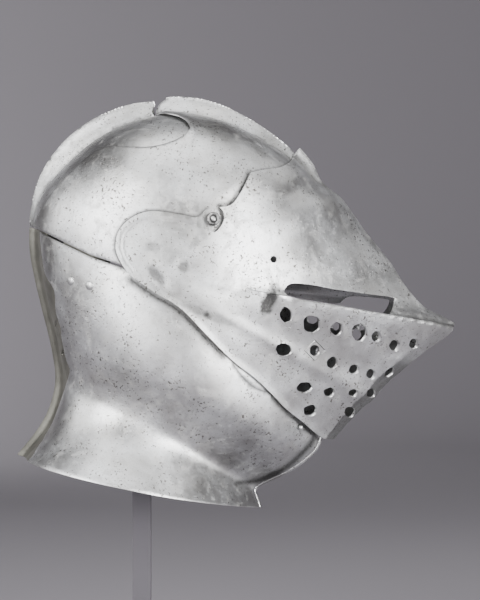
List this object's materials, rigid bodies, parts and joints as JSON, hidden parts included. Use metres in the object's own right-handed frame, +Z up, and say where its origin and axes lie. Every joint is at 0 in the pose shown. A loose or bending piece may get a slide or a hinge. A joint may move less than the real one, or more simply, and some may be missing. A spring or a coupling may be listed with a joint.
{
  "type": "close helmet on a stand",
  "caption": "Steel close helmet of armet type with combed skull and reinforce, beaked lifting visor with stepped sights and breaths, cheek plates and flared collar, on a plain post stand.",
  "frame": {"origin": "middle of the stand base's underside, in the helmet's median plane", "axes": "+Z up, +X the way the visor faces, +Y the wearer's left"},
  "size_m": [0.3497, 0.2048, 0.4803],
  "materials": {
    "steel": "old polished steel with small pits and scratches",
    "dark_steel": "dull darkened steel",
    "dark_paint": "matt dark grey paint"
  },
  "bodies": {
    "helmet_on_stand": {"skull": "steel", "skull_reinforce": "steel", "nape_plate": "dark_steel", "cheek_plate_right": "steel", "cheek_plate_left": "steel", "cheek_strap_right": "dark_steel", "cheek_strap_left": "dark_steel", "cheek_rivet_right_1": "steel", "cheek_rivet_right_2": "steel", "cheek_rivet_left_1": "steel", "cheek_rivet_left_2": "steel", "pivot_right": "steel", "pivot_left": "steel", "visor_catch": "steel", "stand_base": "dark_paint", "stand_post": "dark_paint"},
    "visor": {"visor": "steel", "visor_patch_right": "steel"}
  },
  "joints": [
    {"name": "visor_lift", "type": "hinge", "parent": "helmet_on_stand", "child": "visor", "pos_m": [-0.0169, 0, 0.37951], "axis": [0, -1, 0], "range_deg": [0, 25]}
  ]
}
